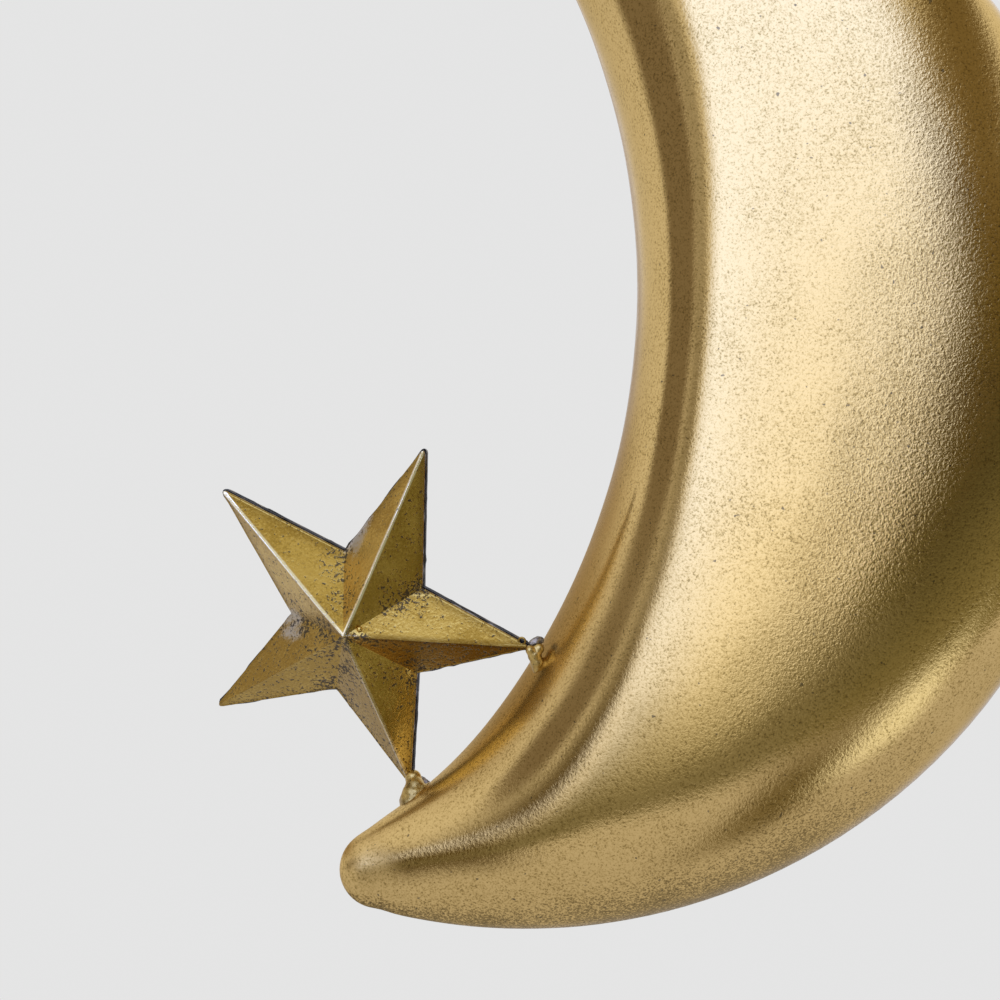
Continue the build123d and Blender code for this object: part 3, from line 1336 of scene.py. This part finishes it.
    def dress(self, brass: bpy.types.Material, seam: bpy.types.Material) -> None:
        """Finish the star's pieces.

        Args:
            brass: Finish of the two shells.
            seam: Finish of the band between them.
        """
        front, back, band = self.pieces
        for piece in self.pieces:
            smooth(piece, self.sharp_angle)
            modify(piece, "WEIGHTED_NORMAL", mode="FACE_AREA", weight=80, keep_sharp=True)
        dress(front, brass, Slot.STAR_BRASS, Body.ORNAMENT, "star_front_shell")
        dress(back, brass, Slot.STAR_BRASS, Body.ORNAMENT, "star_back_shell")
        dress(band, seam, Slot.DARK_SEAM, Body.ORNAMENT, "star_seam_bead")


# The joints between the star and the moon


@dataclass
class StarJoints:
    """Flowed braze and a solder nugget at each of the two tips that stand on the moon."""

    skin: float = 0.22 * MM
    lump_size: float = 1.2 * MM
    web_lumps: float = 0.25 * MM
    nugget_lumps: float = 0.35 * MM
    sharp_angle: float = 80.0
    # Drops of metal as x, y, z and radius, in millimetres from the moon's centre
    right_web: tuple[tuple[float, ...], ...] = (
        (0.7, -9.0, -51.5, 0.95),
        (1.4, -8.6, -52.4, 1.2),
        (1.9, -8.2, -53.6, 1.3),
        (2.1, -7.8, -54.8, 1.1),
        (2.1, -7.4, -56.0, 0.7),
        (2.2, -8.6, -51.2, 1.0),
    )
    lower_web: tuple[tuple[float, ...], ...] = (
        (-19.4, 1.6, -74.0, 1.5),
        (-19.1, 0.9, -75.4, 1.8),
        (-19.3, 0.6, -76.7, 2.15),
        (-19.4, 0.6, -78.1, 2.5),
        (-17.7, 0.6, -76.8, 1.9),
        (-16.4, 0.7, -75.6, 1.1),
    )
    right_nugget: tuple[tuple[float, ...], ...] = (
        (1.6, -8.4, -50.2, 0.9),
        (2.5, -8.1, -49.9, 0.7),
        (0.9, -8.8, -50.4, 0.6),
        (2.0, -8.7, -49.6, 0.5),
    )
    lower_nugget: tuple[tuple[float, ...], ...] = (
        (-18.7, 2.4, -74.4, 0.85),
        (-17.9, 2.2, -74.6, 0.95),
        (-17.0, 2.0, -75.2, 0.8),
        (-18.2, 1.9, -74.0, 0.45),
    )
    pieces: list[bpy.types.Object] = field(default_factory=list)

    def blob(self, name: str, drops: Iterable[tuple[Vector, float]], lumps: float) -> bpy.types.Object:
        """Join round drops into one flowed lump.

        Args:
            name: Name of the new piece.
            drops: Places and radii of the drops.
            lumps: Depth of the unevenness, in metres.

        Returns:
            The lump.
        """
        made = []
        for spot, radius in drops:
            clear_selection()
            bpy.ops.mesh.primitive_ico_sphere_add(subdivisions=3, radius=radius, location=spot)
            made.append(bpy.context.object)
        join(*made)
        piece = settle_new(name)
        modify(piece, "REMESH", mode="VOXEL", voxel_size=self.skin)
        modify(piece, "SMOOTH", factor=0.5, iterations=8)
        roughen(piece, self.lump_size, lumps, 0.6)
        return piece

    def drops(self, moon: Moon, rows: Iterable[tuple[float, ...]]) -> list[tuple[Vector, float]]:
        """Places and radii of drops, from rows in millimetres that start at the moon's centre."""
        return [(moon.centre + Vector(row[:3]) * MM, row[3] * MM) for row in rows]

    def build(self, moon: Moon) -> "StarJoints":
        """Model the two webs and the two nuggets.

        Args:
            moon: The moon.

        Returns:
            The joints themselves.
        """
        lumps = (
            ("right_web", self.right_web, self.web_lumps),
            ("lower_web", self.lower_web, self.web_lumps),
            ("right_nugget", self.right_nugget, self.nugget_lumps),
            ("lower_nugget", self.lower_nugget, self.nugget_lumps),
        )
        self.pieces = [self.blob(name, self.drops(moon, rows), depth) for name, rows, depth in lumps]
        return self

    def dress(self, braze: bpy.types.Material, solder: bpy.types.Material) -> None:
        """Finish the webs and the nuggets.

        Args:
            braze: Finish of the webs.
            solder: Finish of the nuggets.
        """
        looks = (
            (braze, Slot.BRAZE, "right_braze_fillet"),
            (braze, Slot.BRAZE, "lower_braze_fillet"),
            (solder, Slot.SOLDER, "right_solder_nugget"),
            (solder, Slot.SOLDER, "lower_solder_nugget"),
        )
        for piece, (finish, slot, node) in zip(self.pieces, looks):
            smooth(piece, self.sharp_angle)
            dress(piece, finish, slot, Body.ORNAMENT, node)


# The hanger


@dataclass
class Hanger:
    """Wire staple brazed across the moon's seam, and the split ring that hangs in it."""

    staple_wire: float = 1.0 * MM
    staple_arch: float = 3.5 * MM
    ring_wire: float = 1.0 * MM
    ring_radius: float = 9.0 * MM
    slit: float = 0.3 * MM
    collar_sink: float = 0.3 * MM
    collar_lumps: float = 0.2 * MM
    # Drops round one foot as x, y, z and radius, in millimetres
    collar_drops: tuple[tuple[float, ...], ...] = (
        (0.0, 0.0, 0.0, 1.75),
        (0.5, 0.2, -0.3, 1.3),
        (-0.5, -0.2, -0.2, 1.25),
    )
    sharp_angle: float = 50.0
    pieces: list[bpy.types.Object] = field(default_factory=list)

    def staple(self) -> bpy.types.Object:
        """Bend a wire over a half-circle and draw out its two legs.

        Returns:
            The staple.
        """
        low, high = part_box("hanger_staple")
        bend = Vector((0, 0, high.z - self.staple_arch - self.staple_wire))
        clear_selection()
        bpy.ops.mesh.primitive_circle_add(
            vertices=16, radius=self.staple_wire, location=bend + Vector((0, self.staple_arch, 0))
        )
        piece = settle_new("staple")
        edit_all()
        bpy.ops.mesh.spin(steps=24, angle=math.pi, center=bend, axis=(-1, 0, 0))
        count = pick(piece, "VERT", lambda v: abs(v.co.z - bend.z) < TINY)
        LOG.debug("staple ends hold %d points", count)
        leg = {"value": (0, 0, low.z - bend.z)}
        bpy.ops.mesh.extrude_region_move(TRANSFORM_OT_translate=leg)
        bpy.ops.mesh.select_all(action="SELECT")
        bpy.ops.mesh.remove_doubles(threshold=MERGED)
        bpy.ops.mesh.fill_holes(sides=0)
        face_outwards()
        if max(points_of(piece)[:, 2]) < bend.z + self.staple_arch / 2:
            LOG.warning("the staple was bent downwards")
        return piece

    def collars(self, joints: StarJoints) -> bpy.types.Object:
        """Run braze round the staple's two feet.

        Args:
            joints: Maker of braze lumps.

        Returns:
            The two collars as one piece.
        """
        low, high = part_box("hanger_braze")
        middle = (low.z + high.z) / 2
        drops = []
        for side in (-1, 1):
            foot = Vector((0, side * self.staple_arch, middle - self.collar_sink))
            for x, y, z, radius in self.collar_drops:
                drops.append((foot + Vector((x, side * y, z)) * MM, radius * MM))
        return joints.blob("hanger_collars", drops, self.collar_lumps)

    def ring(self) -> bpy.types.Object:
        """Bend a wire into a ring with a fine slit at its top.

        Returns:
            The ring.
        """
        gap = self.slit / self.ring_radius
        clear_selection()
        bpy.ops.mesh.primitive_circle_add(
            vertices=20,
            radius=self.ring_wire,
            fill_type="NGON",
            location=(self.ring_radius * math.sin(gap / 2), 0, self.ring_radius * math.cos(gap / 2)),
            rotation=(0, math.pi / 2 + gap / 2, 0),
        )
        piece = settle_new("ring")
        edit_all()
        bpy.ops.mesh.spin(steps=96, angle=2 * math.pi - gap, center=(0, 0, 0), axis=(0, 1, 0))
        bpy.ops.mesh.select_all(action="SELECT")
        bpy.ops.mesh.remove_doubles(threshold=MERGED)
        face_outwards()
        return piece

    def build(self, joints: StarJoints) -> "Hanger":
        """Model the staple, its braze and the ring.

        Args:
            joints: Maker of braze lumps.

        Returns:
            The hanger itself.
        """
        self.pieces = [self.staple(), self.collars(joints), self.ring()]
        return self

    def dress(self, brass: bpy.types.Material, braze: bpy.types.Material) -> None:
        """Finish the hanger's pieces.

        Args:
            brass: Finish of the staple and the ring.
            braze: Finish of the collars.
        """
        wire, lumps, loop = self.pieces
        for piece in self.pieces:
            smooth(piece, self.sharp_angle)
        dress(wire, brass, Slot.ANTIQUE_BRASS, Body.ORNAMENT, "hanger_staple")
        dress(lumps, braze, Slot.BRAZE, Body.ORNAMENT, "hanger_braze")
        dress(loop, brass, Slot.ANTIQUE_BRASS, Body.RING, "hang_ring")


# The studio


@dataclass(frozen=True)
class Panel:
    """Soft-edged cloth or light of the studio, placed by degrees from the camera's axis.

    Attributes:
        right: Degrees to the right of the axis.
        up: Degrees above the axis.
        half_width: Half of the width, in degrees.
        half_height: Half of the height, in degrees.
        turn: Turn of the panel, in degrees.
        corner: Squareness, from 2 for an oval upwards.
        edge: Softness of the edge, as a share of the half sizes.
        glow: Colour of its light.
    """

    right: float
    up: float
    half_width: float
    half_height: float
    turn: float
    corner: float
    edge: float
    glow: Colour

    def mask(self, right: Wire, up: Wire) -> Wire:
        """Share of a direction that the panel covers.

        Args:
            right: Degrees to the right of the camera.
            up: Degrees above the camera.

        Returns:
            1 inside the panel and 0 outside it.
        """
        turn = math.radians(self.turn)
        cosine, sine = math.cos(turn), math.sin(turn)
        across, along = right - self.right, up - self.up
        wide = ((cosine * across + sine * along) / self.half_width).size().power(self.corner)
        tall = ((cosine * along - sine * across) / self.half_height).size().power(self.corner)
        return (wide + tall).power(1 / self.corner).ramp(1 + self.edge, 1 - self.edge)


@dataclass
class Studio:
    """Pale room and floor, with a tall softbox over the camera and dark cloths beside and below it."""

    # Room as the camera, plain surfaces and reflections see it
    pale: Colour = (0.78, 0.78, 0.78)
    fill: Colour = (0.92, 0.92, 0.92)
    room_low: Colour = (0.68, 0.71, 0.86)
    room_high: Colour = (0.98, 1.04, 1.24)
    # Dark cloths and the light over the camera, which only reflections see
    curtain: Panel = Panel(37.0, -9.5, 33.5, 25.6, -7.0, 7.0, 0.05, (0.028, 0.025, 0.010))
    curtain_hem: Colour = (0.30, 0.30, 0.21)
    curtain_slant: float = 0.35
    curtain_fade: tuple[float, float] = (6.0, -42.0)
    cloths: tuple[Panel, ...] = (
        Panel(10.0, 82.0, 46.0, 30.0, 0.0, 3.0, 0.15, (0.63, 0.63, 0.55)),
        Panel(51.2, 48.9, 12.0, 61.2, -38.6, 2.0, 0.32, (0.24, 0.20, 0.12)),
        Panel(18.3, -53.0, 9.7, 21.5, -2.5, 3.8, 0.65, (0.24, 0.22, 0.16)),
        Panel(35.9, -44.0, 8.5, 10.4, 4.1, 5.5, 0.80, (1.30, 1.48, 1.90)),
        Panel(-76.6, 7.4, 22.5, 13.2, 38.4, 2.9, 0.26, (0.27, 0.245, 0.235)),
        Panel(-130.0, 62.4, 52.0, 31.0, -1.5, 3.0, 0.55, (0.42, 0.35, 0.27)),
        Panel(-42.1, -18.2, 4.0, 28.6, 19.7, 7.0, 0.60, (0.10, 0.07, 0.004)),
        Panel(-14.8, -20.6, 23.4, 13.9, -8.4, 7.0, 0.22, (0.30, 0.305, 0.27)),
    )
    softbox: Panel = Panel(15.0, 90.7, 26.6, 110.0, -21.5, 4.6, 0.11, (1.60, 2.10, 4.60))
    softbox_top: float = 46.0
    softbox_edge: float = 4.0
    softbox_hem: Colour = (1.40, 1.46, 1.46)
    softbox_slant: float = 0.3
    softbox_fade: tuple[float, float] = (28.0, -24.0)
    # Camera, and the place that it is aimed at, from the moon's centre
    camera_distance: float = 0.80
    frame_width: float = 172.41 * MM
    aim_x: float = -4.43 * MM
    aim_z: float = -25.95 * MM
    sensor_width: float = 36.0
    # Floor and lamp
    floor_drop: float = 0.45
    floor_width: float = 5.0
    floor_cloud: float = 0.4
    floor_dark: Colour = (0.77, 0.77, 0.77)
    floor_light: Colour = (0.80, 0.80, 0.80)
    lamp_level: float = 3.0
    lamp_width: float = 1.2
    lamp_place: tuple[float, float, float] = (-0.25, -0.9, 0.9)
    aim: Vector = field(init=False)

    def build(self, moon: Moon) -> None:
        """Set up the world, the floor, the lamp and the camera.

        Args:
            moon: The piece that the camera is aimed by.
        """
        bpy.context.scene.view_settings.view_transform = "Standard"
        self.aim = moon.centre + Vector((self.aim_x, 0, self.aim_z))
        self.room()
        self.floor()
        self.lamp()
        self.camera()

    def room(self) -> None:
        """Pale room for the camera, and the cloths and the softbox round it for reflections."""
        bench = NodeBench.for_world("studio")
        way = bench.node("ShaderNodeTexCoord", output="Generated")
        x, y, z = (bench.node("ShaderNodeSeparateXYZ", {}, {0: way}, axis) for axis in "XYZ")
        turn = bench.node("ShaderNodeMath", {"operation": "ARCCOSINE"}, {0: -1.0 * y})
        spread = (180 / math.pi) * turn / (x * x + z * z + 1e-9).power(0.5)
        right, up = x * spread, z * spread
        seen = bench.blend(up.ramp(-90, 90), self.room_low, self.room_high)
        lower = (up - self.curtain_slant * right).ramp(*self.curtain_fade)
        dark = bench.blend(lower, self.curtain.glow, self.curtain_hem)
        seen = bench.blend(self.curtain.mask(right, up), seen, dark)
        for cloth in self.cloths:
            seen = bench.blend(cloth.mask(right, up), seen, cloth.glow)
        lower = (up - self.softbox_slant * right).ramp(*self.softbox_fade)
        light = bench.blend(lower, self.softbox.glow, self.softbox_hem)
        top = up.ramp(self.softbox_top + self.softbox_edge, self.softbox_top - self.softbox_edge)
        seen = bench.blend(self.softbox.mask(right, up) * top, seen, light)
        rays = ("Is Glossy Ray", "Is Camera Ray", "Is Transmission Ray")
        glossy, camera, through = (bench.node("ShaderNodeLightPath", {}, {}, ray) for ray in rays)
        colour = bench.blend(glossy, self.fill, seen)
        bench.surface(Color=bench.blend(camera.highest(through), colour, self.pale), Strength=1.0)

    def floor(self) -> None:
        """Plain pale floor below the hanging ornament."""
        clear_selection()
        low, _ = CAD_BOX
        spot = (self.aim.x, 0, low.z - self.floor_drop)
        bpy.ops.mesh.primitive_plane_add(size=self.floor_width, location=spot)
        sheet = settle_new("floor")
        bench = NodeBench.for_material("floor_paper")
        tone = bench.blend(bench.noise(self.floor_cloud, 2.0), self.floor_dark, self.floor_light)
        sheet.data.materials.append(bench.surface(Base_Color=tone, Roughness=0.8))
        sheet.visible_glossy = False

    def lamp(self) -> None:
        """Round soft lamp above the camera, which throws the ornament's soft shadow."""
        data = bpy.data.lights.new("lamp", "AREA")
        data.shape = "DISK"
        data.size = self.lamp_width
        data.energy = self.lamp_level * math.pi**2 * (data.size / 2) ** 2
        light = bpy.data.objects.new("lamp", data)
        bpy.context.scene.collection.objects.link(light)
        light.location = self.aim + Vector(self.lamp_place)
        light.rotation_mode = "QUATERNION"
        light.rotation_quaternion = (self.aim - light.location).to_track_quat("-Z", "Y")
        light.visible_camera = False
        light.visible_glossy = False

    def camera(self) -> None:
        """Camera straight in front of the ornament, at the photograph's distance and frame."""
        data = bpy.data.cameras.new("camera")
        data.sensor_width = self.sensor_width
        data.lens = data.sensor_width * self.camera_distance / self.frame_width
        view = bpy.data.objects.new("camera", data)
        bpy.context.scene.collection.objects.link(view)
        view.location = self.aim + Vector((0, -self.camera_distance, 0))
        view.rotation_euler = (math.pi / 2, 0, 0)
        data.clip_start, data.clip_end = 0.01, 100.0
        bpy.context.scene.camera = view


def main() -> None:
    """Build and dress every sub-assembly in order."""
    logging.basicConfig(level=logging.INFO, format="%(name)s %(message)s")
    moon_brass = MoonBrass().material()
    braze = FlowedBraze().material()
    solder = GreySolder().material()
    moon = Moon().build()
    moon.dress(moon_brass)
    star = Star().build(moon)
    star.dress(StarBrass().material(), BlackSeam().material())
    joints = StarJoints().build(moon)
    joints.dress(braze, solder)
    Hanger().build(joints).dress(moon_brass, braze)
    Studio().build(moon)


if __name__ == "__main__":
    main()
